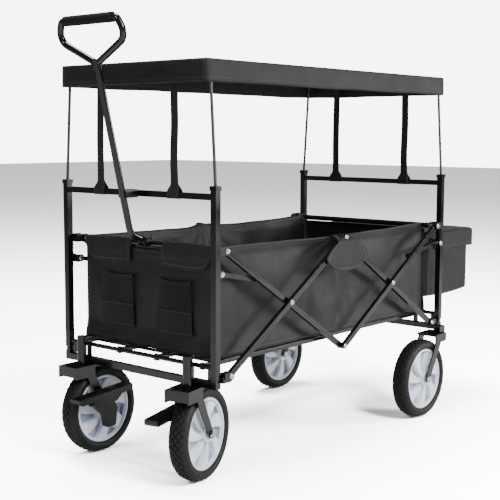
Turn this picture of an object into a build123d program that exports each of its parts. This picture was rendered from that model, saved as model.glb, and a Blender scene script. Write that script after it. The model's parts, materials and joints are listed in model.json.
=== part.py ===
"""Folding pull wagon with a flat canopy: two end frames on wheels, joined by a double scissor.

Millimetres, +X towards the pull handle, +Y to the wagon's left, +Z up.  The origin is on the
floor under the middle of the overall box.  Each sub-part is written to parts/ as one STEP.
"""

import os
from math import atan2, cos, degrees, hypot, radians, sin, sqrt

from build123d import *

# ---------------------------------------------------------------- driving dimensions
POST_SPAN_X = 914  # front post to rear post, open
POST_SPAN_Y = 470
FOLDED_SPAN_X = 300  # front post to rear post, folded
POST_SIZE = 15
POST_TOP_Z = 640
POST_FOOT_Z = 251
CAP_HEIGHT = 9
WALL = 1.2
SLIDE_GAP = 0.3
INNER_POST_TOP_Z = 560
UPPER_BAR_SIZE = 13
UPPER_BAR_Z = 626
FRONT_LEG_FOOT_Z = 220.5
REAR_LEG_FOOT_Z = 206
LEG_TOP_Z = 241
AXLE_BAR_Z = 228

LOW_PIVOT_Z = 245
HIGH_PIVOT_Z = 511
PIVOT_INSET = 35  # scissor pivots inboard of the post centres
BAR_DEPTH = 13
BAR_THICK = 10
CAP_R = 7.5  # round cap on each end of a bar
LANE_GAP = 1.2
FIRST_LANE_OUT = 6.2  # outermost scissor lane, outboard of the post centre
LINK_LENGTH = 134.5
LINK_DROP = 48  # link pivot below the scissor's upper pivot
LINK_OUT = 17.5
LINK_THICK = 8
LINK_DEPTH = 10
RIVET_R = 4
RIVET_GAP = 0.05
RIVET_HEAD_R = 6.5
RIVET_HEAD_H = 2.2

BASE_Z = 265
BASE_RAIL_R = 5
SLAT_SIZE = 10
SLAT_IN = 37  # outer slats inboard of the post centres
SLAT_INNER_Y = 60
SLAT_LANE_STEP = 12
BASE_GAP = 2
CROSS_SLAT_SETBACK = 110

WHEEL_D = 210
TYRE_WIDTH = 46
TYRE_HEIGHT = 25
RIM_D = WHEEL_D - 2 * TYRE_HEIGHT
AXLE_R = 5
HUB_R = 15
WHEEL_SIDE_GAP = 3
ARM_THICK = 4
REAR_WHEEL_OUT = 10  # rear wheels outboard of the post centres
REAR_WHEEL_AHEAD = 111  # rear axle ahead of the rear posts
REAR_CROWN_SETBACK = 20  # wide part of the rear crown ahead of the rear posts
REAR_ARM_ROOT = 54
CROWN_CAP = 12
STEM_AHEAD = 18
STEM_IN = 64  # caster stems inboard of the post centres
STEM_R = 11
STEM_FOOT_Z = 222
STEM_TOP_Z = 286
CASTER_TRAIL = 51
LEFT_CASTER_TURN = 13
RIGHT_CASTER_TURN = 1
CROWN_Z = 213.5
CROWN_THICK = 6
SWIVEL_R = 6
PEDAL_FRONT = 68
PEDAL_REAR = 100
PEDAL_WIDTH = 34
PEDAL_THICK = 14
PEDAL_PIVOT_X = 2
PEDAL_PIVOT_Z = 146
PEDAL_TILT = {"left": 3, "right": 4}  # toe down, as the two brakes are left

CANOPY_TOP_Z = 912
CANOPY_SKIRT = 50
CANOPY_OUT_X = 20
CANOPY_IN = 7  # canopy side inboard of the post centres
CANOPY_WALL = 2.5
POLE_R = 3.5
POLE_TOP_Z = CANOPY_TOP_Z - CANOPY_WALL - POLE_R - 0.3
POLE_IN = 16
STRAP_Y = 117
STRAP_WIDTH = 21
STRAP_FOOT_WIDTH = 34
STRAP_THICK = 2

TOP_RAIL_R = 7
PANEL_THICK = 3
PANEL_IN = 29  # end panels inboard of the post centres
PANEL_FOOT_Z = 275
PANEL_TOP_Z = 502
TUB_IN = 28.5
TUB_FLOOR_Z = 271
TUB_TOP_Z = 520
FLAP_INNER_Y = 50
FLAP_DROP_Z = 466
POCKET_Y = 91
POCKET_WIDTH = 112
POCKET_TOP_Z = 438
POCKET_FOOT_Z = 316
POCKET_DEPTH = 12

BAG_BEHIND = 233  # back of the bag's lid behind the rear posts
BAG_IN = 27
BAG_FOOT_Z = 305
BAG_TOP_Z = 486
BAG_WALL = 4
LID_SKIRT = 50
LID_WALL = 4
LID_GAP = 1
BAG_SETBACK = 20  # the bag tapers in behind the lid's lip

HANDLE_PIVOT_OUT = 14  # handle pivot ahead of the top rail
HANDLE_PIVOT_UP = 9
HANDLE_R = 7.5
HANDLE_LEAN = 14
GRIP_AHEAD = 145  # front of the grip ahead of the front posts
GRIP_Z = 992
GRIP_R = 11
GRIP_HALF = 77
GRIP_CORNER = 86.5  # half the straight top of the loop
LOOP_HALF = 105
LOOP_SHOULDER = 40  # widest place of the loop, below the grip
LOOP_DROP = 96

# ---------------------------------------------------------------- derived places
BAG_REACH = POST_SPAN_X / 2 + BAG_BEHIND
GRIP_REACH = POST_SPAN_X / 2 + GRIP_AHEAD
MID_X = (BAG_REACH - GRIP_REACH) / 2
FRONT_X = MID_X + POST_SPAN_X / 2
REAR_X = MID_X - POST_SPAN_X / 2
POST_Y = POST_SPAN_Y / 2
REAR_WHEEL_Y = POST_Y + REAR_WHEEL_OUT
STEM_Y = POST_Y - STEM_IN
SLAT_OUTER_Y = POST_Y - SLAT_IN
CANOPY_HALF_Y = POST_Y - CANOPY_IN
POLE_TOP_Y = POST_Y - POLE_IN
PANEL_HALF_Y = POST_Y - PANEL_IN
TUB_HALF_Y = POST_Y - TUB_IN
BAG_HALF_Y = POST_Y - BAG_IN
HALF_RUN = POST_SPAN_X / 2 - PIVOT_INSET
CROSS_Z = (LOW_PIVOT_Z + HIGH_PIVOT_Z) / 2
BAR_HALF = hypot(HALF_RUN / 2, CROSS_Z - LOW_PIVOT_Z)
OPEN_ANGLE = degrees(atan2(CROSS_Z - LOW_PIVOT_Z, HALF_RUN / 2))
LANES = [POST_Y + FIRST_LANE_OUT - i * (BAR_THICK + LANE_GAP) for i in range(3)]
WHEEL_R = WHEEL_D / 2
FORK_INNER = TYRE_WIDTH / 2 + WHEEL_SIDE_GAP
FORK_OUTER = FORK_INNER + ARM_THICK
INNER_POST = POST_SIZE - 2 * WALL - 2 * SLIDE_GAP
LEG_FOOT_Z = {1: FRONT_LEG_FOOT_Z, -1: REAR_LEG_FOOT_Z}
ENDS = {"front": 1, "rear": -1}
SIDES = {"left": 1, "right": -1}

os.makedirs("parts", exist_ok=True)


def save(part, name):
    part.label = name
    export_step(part, f"parts/{name}.step")


def block(x, y, z, mode=Mode.ADD):
    """A box between two X, two Y and two Z values, in any order."""
    middle = ((x[0] + x[1]) / 2, (y[0] + y[1]) / 2, (z[0] + z[1]) / 2)
    with Locations(middle):
        Box(abs(x[1] - x[0]), abs(y[1] - y[0]), abs(z[1] - z[0]), mode=mode)


def pin(x, z, y, r, mode=Mode.ADD):
    """A cylinder along Y, from y[0] to y[1]."""
    with Locations(Location((x, (y[0] + y[1]) / 2, z), (90, 0, 0))):
        Cylinder(r, abs(y[1] - y[0]), mode=mode)


def post(x, y, z, r, mode=Mode.ADD):
    """A cylinder along Z, from z[0] to z[1]."""
    with Locations((x, y, (z[0] + z[1]) / 2)):
        Cylinder(r, abs(z[1] - z[0]), mode=mode)


def end_x(end):
    return MID_X + end * POST_SPAN_X / 2


def pivot_x(end):
    return end_x(end) - end * PIVOT_INSET


def lane_span(lane, side, thick=BAR_THICK):
    return (side * (LANES[lane] - thick / 2), side * (LANES[lane] + thick / 2))


# ---------------------------------------------------------------- scissor bars
def scissor_bar(name, start, finish, lane, side, holes):
    """A square tube from start to finish (x, z) with round end caps, and the given rivet holes."""
    run = hypot(finish[0] - start[0], finish[1] - start[1])
    along = Vector((finish[0] - start[0]) / run, 0, (finish[1] - start[1]) / run)
    foot = Vector(start[0], side * LANES[lane], start[1])
    with BuildPart() as bar:
        with BuildSketch(Plane(origin=foot, x_dir=(0, 1, 0), z_dir=along)):
            Rectangle(BAR_THICK, BAR_DEPTH)
            Rectangle(BAR_THICK - 2 * WALL, BAR_DEPTH - 2 * WALL, mode=Mode.SUBTRACT)
        extrude(amount=run)
        for x, z in (start, finish):
            pin(x, z, lane_span(lane, side), CAP_R)
        for (x, z), gap in holes:
            pin(x, z, lane_span(lane, side, BAR_THICK + 2), RIVET_R + gap, Mode.SUBTRACT)
    save(bar.part, name)


def rivet(x, z, y):
    """A rivet along Y that fills the span y, with a bevelled head outside each end."""
    low, high = sorted(y)
    pin(x, z, (low, high), RIVET_R)
    for place, tip in ((low - RIVET_HEAD_H / 2, 90), (high + RIVET_HEAD_H / 2, -90)):
        with Locations(Location((x, place, z), (tip, 0, 0))):
            Cone(RIVET_HEAD_R, RIVET_HEAD_R - 2, RIVET_HEAD_H)


FRONT_LOW = (pivot_x(1), LOW_PIVOT_Z)
FRONT_HIGH = (pivot_x(1), HIGH_PIVOT_Z)
REAR_LOW = (pivot_x(-1), LOW_PIVOT_Z)
REAR_HIGH = (pivot_x(-1), HIGH_PIVOT_Z)
MID_LOW = (MID_X, LOW_PIVOT_Z)
MID_HIGH = (MID_X, HIGH_PIVOT_Z)
FRONT_CROSS = (MID_X + HALF_RUN / 2, CROSS_Z)
REAR_CROSS = (MID_X - HALF_RUN / 2, CROSS_Z)

for side_name, side in SIDES.items():
    scissor_bar(f"front_outer_bar_{side_name}", FRONT_LOW, MID_HIGH, 0, side,
                [(FRONT_LOW, RIVET_GAP), (FRONT_CROSS, 0), (MID_HIGH, 0)])
    scissor_bar(f"front_inner_bar_{side_name}", MID_LOW, FRONT_HIGH, 1, side,
                [(MID_LOW, 0), (FRONT_CROSS, RIVET_GAP), (FRONT_HIGH, 0)])
    scissor_bar(f"rear_outer_bar_{side_name}", MID_LOW, REAR_HIGH, 0, side,
                [(MID_LOW, RIVET_GAP), (REAR_CROSS, 0), (REAR_HIGH, 0)])
    scissor_bar(f"rear_inner_bar_{side_name}", REAR_LOW, MID_HIGH, 1, side,
                [(REAR_LOW, 0), (REAR_CROSS, RIVET_GAP), (MID_HIGH, RIVET_GAP)])

CHEEK = 3.5
CHEEK_GAP = 0.6


def cheeks(outer_lane, inner_lane):
    """The Y of a clevis's two cheeks, each as (inner face, outer face), around some lanes."""
    high = LANES[outer_lane] + BAR_THICK / 2 + CHEEK_GAP
    low = LANES[inner_lane] - BAR_THICK / 2 - CHEEK_GAP
    return (low - CHEEK, low), (high, high + CHEEK)


def spanning(low, high, side):
    return (side * low, side * high)


HIGH_CHEEKS = {1: cheeks(1, 2), -1: cheeks(0, 1)}
LOW_CHEEKS = {1: cheeks(0, 0), -1: cheeks(1, 1)}
LINK_LANE = {1: 2, -1: 1}

with BuildPart() as crossing_rivets_front:
    for side in SIDES.values():
        for place in (FRONT_CROSS, MID_HIGH):
            rivet(*place, spanning(LANES[1] - BAR_THICK / 2, LANES[0] + BAR_THICK / 2, side))
save(crossing_rivets_front.part, "crossing_rivets_front")

with BuildPart() as crossing_rivets_rear:
    for side in SIDES.values():
        rivet(*REAR_CROSS, spanning(LANES[1] - BAR_THICK / 2, LANES[0] + BAR_THICK / 2, side))
save(crossing_rivets_rear.part, "crossing_rivets_rear")

with BuildPart() as centre_rivets_low:
    for side in SIDES.values():
        rivet(*MID_LOW, spanning(LANES[1] - BAR_THICK / 2, LANES[0] + BAR_THICK / 2, side))
save(centre_rivets_low.part, "centre_rivets_low")


def corner_rivets(end, tier_cheeks, z):
    inner, outer = tier_cheeks[end]
    for side in SIDES.values():
        rivet(pivot_x(end), z, spanning(inner[0], outer[1], side))


for end_name, end in ENDS.items():
    with BuildPart() as low_rivets:
        corner_rivets(end, LOW_CHEEKS, LOW_PIVOT_Z)
    save(low_rivets.part, f"low_rivets_{end_name}")

# ---------------------------------------------------------------- corner brackets and links
LINK_X = {end: pivot_x(end) + end * LINK_OUT for end in ENDS.values()}
LINK_Z = HIGH_PIVOT_Z - LINK_DROP
BRACKET_HALF = 9  # half the height of each fork
SPINE_THICK = 3
SPINE_HALF_Y = 5

for end_name, end in ENDS.items():
    inner, outer = HIGH_CHEEKS[end]
    post_face = end_x(end) - end * POST_SIZE / 2
    spine_face = post_face - end * SPINE_THICK
    with BuildPart() as brackets:
        for side in SIDES.values():
            block((post_face, spine_face), spanning(POST_Y - SPINE_HALF_Y, POST_Y + SPINE_HALF_Y, side),
                  (LINK_Z - BRACKET_HALF, HIGH_PIVOT_Z + BRACKET_HALF))
            for z, fork_x in ((HIGH_PIVOT_Z, pivot_x(end)), (LINK_Z, LINK_X[end])):
                height = (z - BRACKET_HALF, z + BRACKET_HALF)
                block((post_face, spine_face), spanning(inner[0], outer[1], side), height)
                for cheek in (inner, outer):
                    block((spine_face, fork_x), spanning(*cheek, side), height)
                    pin(fork_x, z, spanning(*cheek, side), BRACKET_HALF)
                    pin(fork_x, z, spanning(*cheek, side), RIVET_R, Mode.SUBTRACT)
    save(brackets.part, f"corner_brackets_{end_name}")

    with BuildPart() as upper_rivets:
        corner_rivets(end, HIGH_CHEEKS, HIGH_PIVOT_Z)
        for side in SIDES.values():
            rivet(LINK_X[end], LINK_Z, spanning(inner[0], outer[1], side))
    save(upper_rivets.part, f"upper_rivets_{end_name}")

    # the brace from the corner bracket to the long bar; its rivet to the bar rides on the link
    reach_x = -end * sqrt(LINK_LENGTH**2 - 25**2)
    bar_point = (LINK_X[end] + reach_x, LINK_Z - 25)
    lane = LINK_LANE[end]
    with BuildPart() as links:
        for side in SIDES.values():
            y = lane_span(lane, side, LINK_THICK)
            facing = Plane(origin=(LINK_X[end], min(y), LINK_Z),
                           x_dir=(reach_x / LINK_LENGTH, 0, -25 / LINK_LENGTH), z_dir=(0, 1, 0))
            with BuildSketch(facing):
                with Locations((LINK_LENGTH / 2, 0)):
                    SlotCenterToCenter(LINK_LENGTH, LINK_DEPTH)
                Circle(RIVET_R + RIVET_GAP, mode=Mode.SUBTRACT)
            extrude(amount=LINK_THICK)
            pin(*bar_point, spanning(LANES[lane] - LINK_THICK / 2 - RIVET_HEAD_H,
                                     LANES[lane] - LINK_THICK / 2, side), RIVET_HEAD_R)
    save(links.part, f"brace_links_{end_name}")


# ---------------------------------------------------------------- end frames, lower halves
def lower_frame(end):
    """Inner posts, legs, axle crossbar, base rail on its tabs and the low pivot cheeks."""
    x = end_x(end)
    half = INNER_POST / 2
    leg = POST_SIZE / 2
    foot = LEG_FOOT_Z[end]
    clevis_foot = LOW_PIVOT_Z - 12
    inner, outer = LOW_CHEEKS[end]
    for side in SIDES.values():
        block((x - half, x + half), spanning(POST_Y - half, POST_Y + half, side),
              (foot, INNER_POST_TOP_Z))
        block((x - leg, x + leg), spanning(POST_Y - leg, POST_Y + leg, side), (foot, LEG_TOP_Z))
        root = (x - end * leg, x - end * (leg + 6))
        block(root, spanning(inner[0], max(outer[1], POST_Y + leg), side), (clevis_foot, LEG_TOP_Z))
        for cheek in (inner, outer):
            block((root[1], pivot_x(end)), spanning(*cheek, side), (clevis_foot, LOW_PIVOT_Z + 8))
            pin(pivot_x(end), LOW_PIVOT_Z, spanning(*cheek, side), 9)
            pin(pivot_x(end), LOW_PIVOT_Z, spanning(*cheek, side), RIVET_R, Mode.SUBTRACT)
        for y in (STEM_Y - 6, POST_Y - leg - 7):
            block((x - 1.5, x + 1.5), spanning(y - 7, y + 7, side), (AXLE_BAR_Z, BASE_Z))
    block((x - leg, x + leg), (-POST_Y, POST_Y), (AXLE_BAR_Z - leg, AXLE_BAR_Z + leg))
    pin(x, BASE_Z, (-(POST_Y - leg - 2), POST_Y - leg - 2), BASE_RAIL_R)


with BuildPart() as front_lower_frame:
    lower_frame(1)
    for side in SIDES.values():
        post(FRONT_X + STEM_AHEAD, side * STEM_Y, (STEM_FOOT_Z, STEM_TOP_Z), STEM_R)
        block((FRONT_X, FRONT_X + STEM_AHEAD), spanning(STEM_Y - 7, STEM_Y + 7, side),
              (STEM_FOOT_Z + 1, AXLE_BAR_Z + POST_SIZE / 2))
        post(FRONT_X + STEM_AHEAD, side * STEM_Y, (STEM_FOOT_Z, STEM_TOP_Z - 6),
             SWIVEL_R + RIVET_GAP, Mode.SUBTRACT)
save(front_lower_frame.part, "front_lower_frame")

REAR_AXLE_X = REAR_X + REAR_WHEEL_AHEAD
REAR_CROWN_FRONT = REAR_X + 72

with BuildPart() as rear_lower_frame:
    lower_frame(-1)
save(rear_lower_frame.part, "rear_lower_frame")

ARM_ROOT_R = 12
ARM_TIP_R = 9


def fork_arm(root, tip, y):
    """A flat tapered arm between two rounded ends (x, z), filling y, with its axle hole."""
    run = hypot(tip[0] - root[0], tip[1] - root[1])
    across = ((root[1] - tip[1]) / run, (tip[0] - root[0]) / run)

    def beside(place, amount):
        return (place[0] + across[0] * amount, place[1] + across[1] * amount)

    corners = [beside(root, -ARM_ROOT_R), beside(tip, -ARM_TIP_R), beside(tip, ARM_TIP_R),
               beside(root, ARM_ROOT_R)]
    with BuildSketch(Plane(origin=(0, max(y), 0), x_dir=(1, 0, 0), z_dir=(0, -1, 0))) as arm:
        with BuildLine():
            Polyline(*corners, close=True)
        make_face()
        with Locations(root):
            Circle(ARM_ROOT_R)
        with Locations(tip):
            Circle(ARM_TIP_R)
            Circle(AXLE_R, mode=Mode.SUBTRACT)
    extrude(arm.sketch, amount=ARM_THICK)


with BuildPart() as rear_forks:
    leg = POST_SIZE / 2
    for side in SIDES.values():
        reach = spanning(REAR_WHEEL_Y - FORK_OUTER, REAR_WHEEL_Y + FORK_OUTER, side)
        neck_y = spanning(REAR_WHEEL_Y - FORK_OUTER, POST_Y + leg + CROWN_CAP, side)
        cap_y = spanning(POST_Y + leg, POST_Y + leg + CROWN_CAP, side)
        flange_y = spanning(REAR_WHEEL_Y + FORK_INNER, REAR_WHEEL_Y + FORK_OUTER, side)
        crown_back = REAR_X + REAR_CROWN_SETBACK
        block((REAR_X + leg, crown_back), neck_y, (CROWN_Z, CROWN_Z + CROWN_THICK))
        block((crown_back, REAR_CROWN_FRONT), reach, (CROWN_Z, CROWN_Z + CROWN_THICK))
        block((crown_back, REAR_CROWN_FRONT), flange_y, (CROWN_Z - 16, CROWN_Z))
        block((REAR_X - leg, crown_back), cap_y, (CROWN_Z - 8, CROWN_Z + 20))
        for y in (REAR_WHEEL_Y - FORK_OUTER, REAR_WHEEL_Y + FORK_INNER):
            fork_arm((REAR_X + REAR_ARM_ROOT, CROWN_Z - 6), (REAR_AXLE_X, WHEEL_R),
                     spanning(y, y + ARM_THICK, side))
save(rear_forks.part, "rear_forks")


# ---------------------------------------------------------------- wheels
def tyre(centre, turn, name):
    """A solid crowned tyre round its own axle line, turned about Z from the rolling direction."""
    half = TYRE_WIDTH / 2
    with BuildPart() as ring:
        with BuildSketch(Plane(origin=centre, x_dir=(0, 0, 1), z_dir=turned(turn, 1, 0))) as section:
            with BuildLine():
                inner = RIM_D / 2
                Polyline((inner, -half + 3), (inner + 8, -half), (WHEEL_R - 12, -half))
                ThreePointArc((WHEEL_R - 12, -half), (WHEEL_R, 0), (WHEEL_R - 12, half))
                Polyline((WHEEL_R - 12, half), (inner + 8, half), (inner, half - 3),
                         (inner, -half + 3))
            make_face()
        revolve(axis=Axis(centre, turned(turn, 0, 1)))
    save(ring.part, name)


def turned(turn, x, y):
    """A level direction (x, y) turned about Z."""
    c, s = cos(radians(turn)), sin(radians(turn))
    return (x * c - y * s, x * s + y * c, 0)


SPOKES = 7


def rim(centre, turn, name):
    """Moulded rim: barrel with raised lips, dished web, hub and twisted wedge spokes."""
    half = TYRE_WIDTH / 2 - 3
    outer = RIM_D / 2 - 0.02
    with BuildPart() as wheel:
        with BuildSketch(Plane(origin=centre, x_dir=(0, 0, 1), z_dir=turned(turn, 1, 0))):
            with BuildLine():
                Polyline((AXLE_R + RIVET_GAP, -half - 4), (HUB_R, -half - 4), (HUB_R + 2, -4),
                         (outer - 9, -4), (outer - 6, -half), (outer, -half), (outer, half),
                         (outer - 6, half), (outer - 9, 4), (HUB_R + 2, 4), (HUB_R, half + 4),
                         (AXLE_R + RIVET_GAP, half + 4), close=True)
            make_face()
        revolve(axis=Axis(centre, turned(turn, 0, 1)))
        for way in (1, -1):
            face = Plane(origin=centre, x_dir=turned(turn, 1, 0), z_dir=turned(turn, 0, way))
            for spoke in range(SPOKES):
                swing = radians(360 / SPOKES * spoke)
                spread = radians(11)
                with BuildSketch(face.offset(4)):
                    with BuildLine():
                        Polyline((14 * cos(swing), 14 * sin(swing)),
                                 ((outer - 8) * cos(swing - spread), (outer - 8) * sin(swing - spread)),
                                 ((outer - 8) * cos(swing + spread), (outer - 8) * sin(swing + spread)),
                                 close=True)
                    make_face()
                extrude(amount=9, taper=20)
    save(wheel.part, name)


def axle_bolt(x, y, z):
    """A bolt through both fork arms with a head outside one and a nut outside the other."""
    pin(x, z, (y - FORK_OUTER, y + FORK_OUTER), AXLE_R)
    for place in (y - FORK_OUTER - 6, y + FORK_OUTER):
        with BuildSketch(Plane(origin=(x, place, z), x_dir=(1, 0, 0), z_dir=(0, 1, 0))) as hexagon:
            RegularPolygon(8.5, 6)
        extrude(hexagon.sketch, amount=6)


STEM_X = FRONT_X + STEM_AHEAD
CASTER_TURN = {"left": LEFT_CASTER_TURN, "right": RIGHT_CASTER_TURN}


def caster_point(side_name, ahead, out, z):
    """A point ahead of the stem and outboard of it, with the caster at its rest angle."""
    side = SIDES[side_name]
    d = turned(CASTER_TURN[side_name], ahead, side * out)
    return (STEM_X + d[0], side * STEM_Y + d[1], z)


for side_name, side in SIDES.items():
    rear_centre = (REAR_AXLE_X, side * REAR_WHEEL_Y, WHEEL_R)
    tyre(rear_centre, 0, f"rear_tyre_{side_name}")
    rim(rear_centre, 0, f"rear_rim_{side_name}")
    turn = CASTER_TURN[side_name]
    front_centre = caster_point(side_name, -CASTER_TRAIL, 0, WHEEL_R)
    tyre(front_centre, turn, f"front_tyre_{side_name}")
    rim(front_centre, turn, f"front_rim_{side_name}")

with BuildPart() as rear_axles:
    for side in SIDES.values():
        axle_bolt(REAR_AXLE_X, side * REAR_WHEEL_Y, WHEEL_R)
save(rear_axles.part, "rear_axles")

# ---------------------------------------------------------------- casters and brakes
# Each is drawn with the stem on the Z axis, rolling along +X, outboard side at +Y * side,
# and then placed at the stem with its rest turn.
CROWN_FRONT = 46
CROWN_BACK = -44
BRAKE_INNER = FORK_OUTER + 0.5
BRAKE_THICK = 12


def placed(part, side_name):
    side = SIDES[side_name]
    return Location((STEM_X, side * STEM_Y, 0), (0, 0, CASTER_TURN[side_name])) * part


for side_name, side in SIDES.items():
    with BuildPart() as caster_fork:
        block((CROWN_BACK, CROWN_FRONT), (-FORK_OUTER, FORK_OUTER), (CROWN_Z, CROWN_Z + CROWN_THICK))
        block((CROWN_FRONT - 5, CROWN_FRONT), (-FORK_OUTER, FORK_OUTER), (CROWN_Z - 18, CROWN_Z))
        for y in (-FORK_OUTER, FORK_INNER):
            block((-14, CROWN_FRONT), (y, y + ARM_THICK), (CROWN_Z - 22, CROWN_Z))
            fork_arm((2, CROWN_Z - 12), (-CASTER_TRAIL, WHEEL_R), (y, y + ARM_THICK))
        post(0, 0, (CROWN_Z, STEM_FOOT_Z - 0.3), STEM_R - 1)
        post(0, 0, (CROWN_Z, STEM_TOP_Z - 8), SWIVEL_R)
    save(placed(caster_fork.part, side_name), f"caster_fork_{side_name}")

    with BuildPart() as caster_axle:
        axle_bolt(-CASTER_TRAIL, 0, WHEEL_R)
    save(placed(caster_axle.part, side_name), f"caster_axle_{side_name}")

    # plastic brake housing on the inboard arm, with a pocket for the axle's hexagon
    inboard = -side
    with BuildPart() as brake_housing:
        face = Plane(origin=(0, inboard * BRAKE_INNER, 0), x_dir=(-inboard, 0, 0), z_dir=(0, inboard, 0))
        outline = [(-66, 66), (-34, 66), (-28, 96), (6, 128), (-6, 137), (-52, 137), (-72, 110)]
        with BuildSketch(face) as shape:
            with BuildLine():
                Polyline(*[(-inboard * x, z) for x, z in outline], close=True)
            make_face()
        extrude(amount=BRAKE_THICK)
        low = brake_housing.edges().filter_by(Axis.Y).group_by(Axis.Z)[0]
        fillet(low, 6)
        pin(-CASTER_TRAIL, WHEEL_R, spanning(FORK_OUTER, FORK_OUTER + 7.5, inboard), 9.5,
            Mode.SUBTRACT)
        block((PEDAL_PIVOT_X - 7, PEDAL_PIVOT_X + 7), spanning(BRAKE_INNER, BRAKE_INNER + 4, inboard),
              (124, PEDAL_PIVOT_Z + 6))
        pin(PEDAL_PIVOT_X, PEDAL_PIVOT_Z, spanning(BRAKE_INNER, BRAKE_INNER + PEDAL_WIDTH, inboard),
            RIVET_R)
    save(placed(brake_housing.part, side_name), f"brake_housing_{side_name}")

    with BuildPart() as brake_pedal:
        near = BRAKE_INNER + 4.4
        far = near + PEDAL_WIDTH
        top = PEDAL_PIVOT_Z + 12
        block((-PEDAL_REAR, PEDAL_FRONT), spanning(near, far, inboard), (top - PEDAL_THICK, top))
        ends = brake_pedal.edges().filter_by(Axis.Y).group_by(Axis.Z)[0]
        chamfer(ends, 7)
        uprights = brake_pedal.edges().filter_by(Axis.Z)
        fillet(uprights, 4)
        for rib in range(11):
            start = PEDAL_FRONT - 10 - rib * 9
            block((start, start - 4), spanning(near + 4, far - 4, inboard), (top, top + 2))
        web = [(26, top - 8), (-20, top - PEDAL_THICK - 14), (-44, top - PEDAL_THICK - 14), (-72, top - 8)]
        side_face = Plane(origin=(0, inboard * far, 0), x_dir=(-inboard, 0, 0), z_dir=(0, inboard, 0))
        with BuildSketch(side_face):
            with BuildLine():
                Polyline(*[(-inboard * x, z) for x, z in web], close=True)
            make_face()
        extrude(amount=-4)
        pin(PEDAL_PIVOT_X, PEDAL_PIVOT_Z, spanning(near, far, inboard), 8)
        pin(PEDAL_PIVOT_X, PEDAL_PIVOT_Z, spanning(near - 1, near + PEDAL_WIDTH - 3, inboard),
            RIVET_R + RIVET_GAP, Mode.SUBTRACT)
    about = Location((PEDAL_PIVOT_X, 0, PEDAL_PIVOT_Z))
    tilted = about * Rot(0, PEDAL_TILT[side_name], 0) * about.inverse() * brake_pedal.part
    save(placed(tilted, side_name), f"brake_pedal_{side_name}")


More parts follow.
